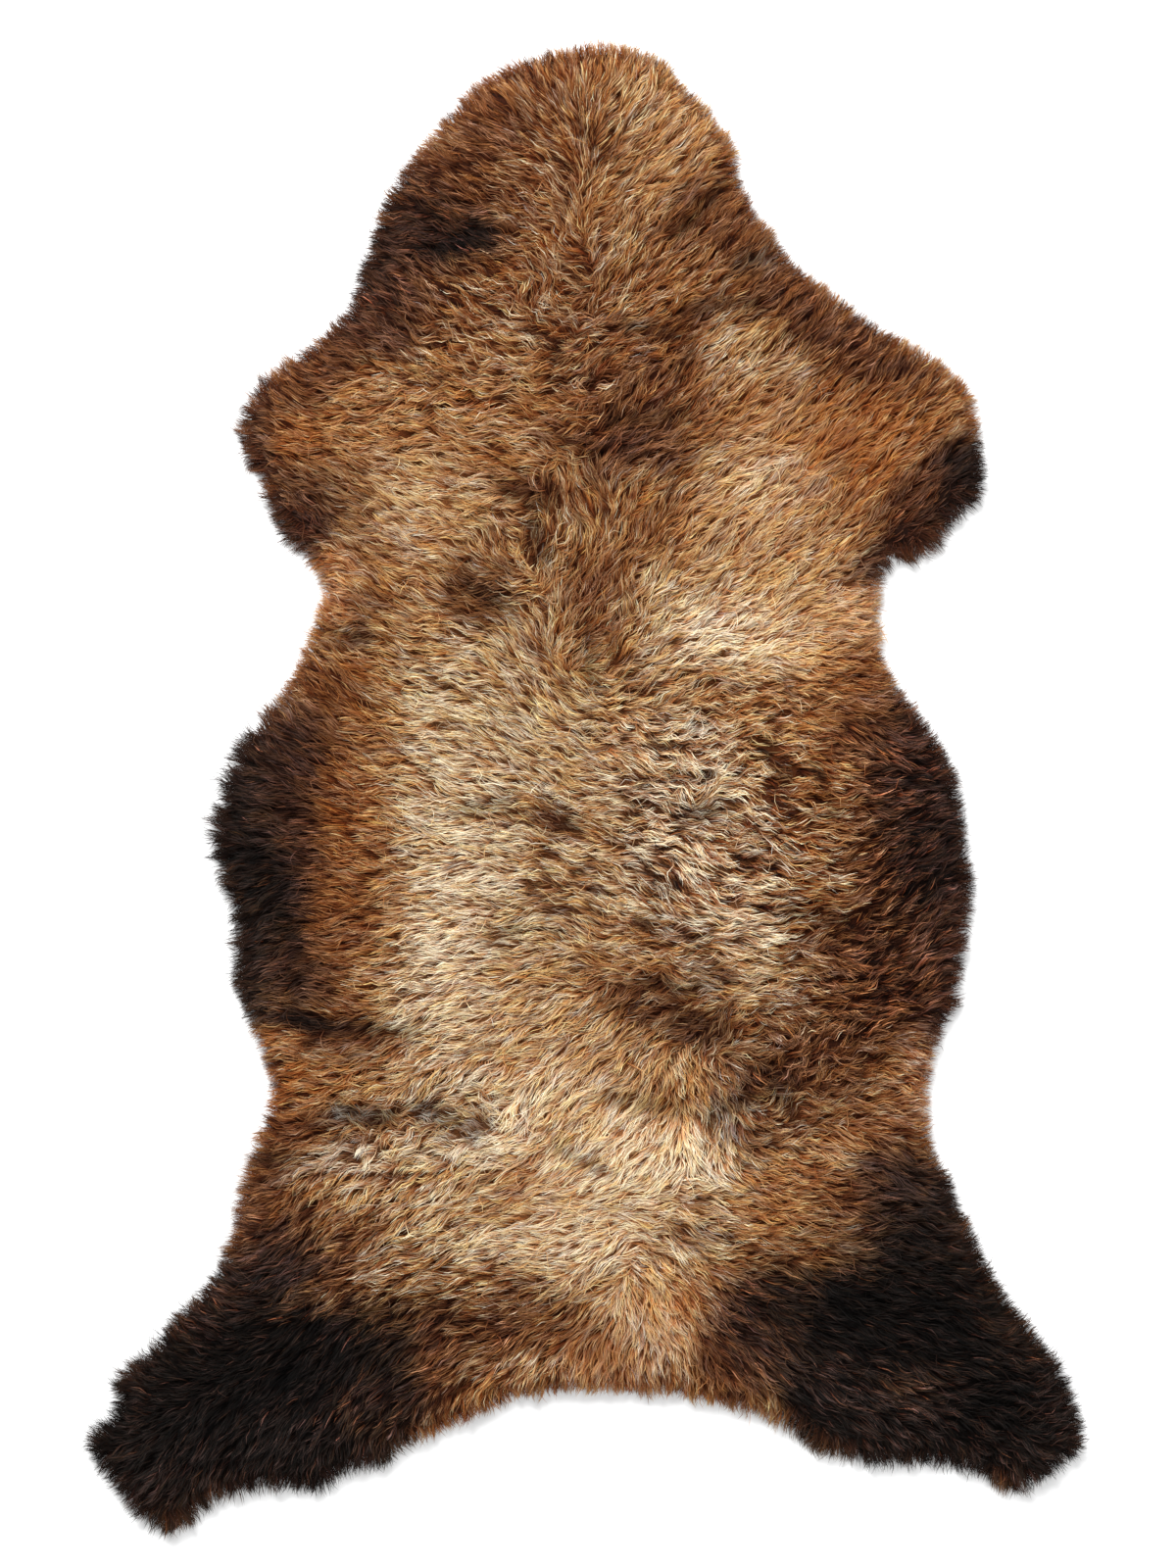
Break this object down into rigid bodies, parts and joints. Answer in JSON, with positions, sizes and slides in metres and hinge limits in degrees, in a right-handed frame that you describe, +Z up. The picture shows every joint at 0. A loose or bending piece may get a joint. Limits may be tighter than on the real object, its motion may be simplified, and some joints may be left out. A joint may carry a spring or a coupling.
{
  "type": "sheepskin rug",
  "caption": "Flat natural sheepskin rug: a pelt with neck, foreleg and hind leg lobes, flat hide below, dense brown wool above and drooping tufts round its rim.",
  "frame": {"origin": "middle of the rug's box, on the flat underside of the hide, where it rests on the floor", "axes": "+Y from the tail to the neck along the pelt's length, +X across it, +Z up through the wool"},
  "size_m": [0.719, 1.0592, 0.0356],
  "materials": {
    "wool": "deep wool pile, tan to umber with near-black legs and flanks, matt with a soft sheen",
    "hide": "tanned flesh side, pale suede"
  },
  "bodies": {
    "root": {"sheepskin": "wool"}
  },
  "joints": []
}
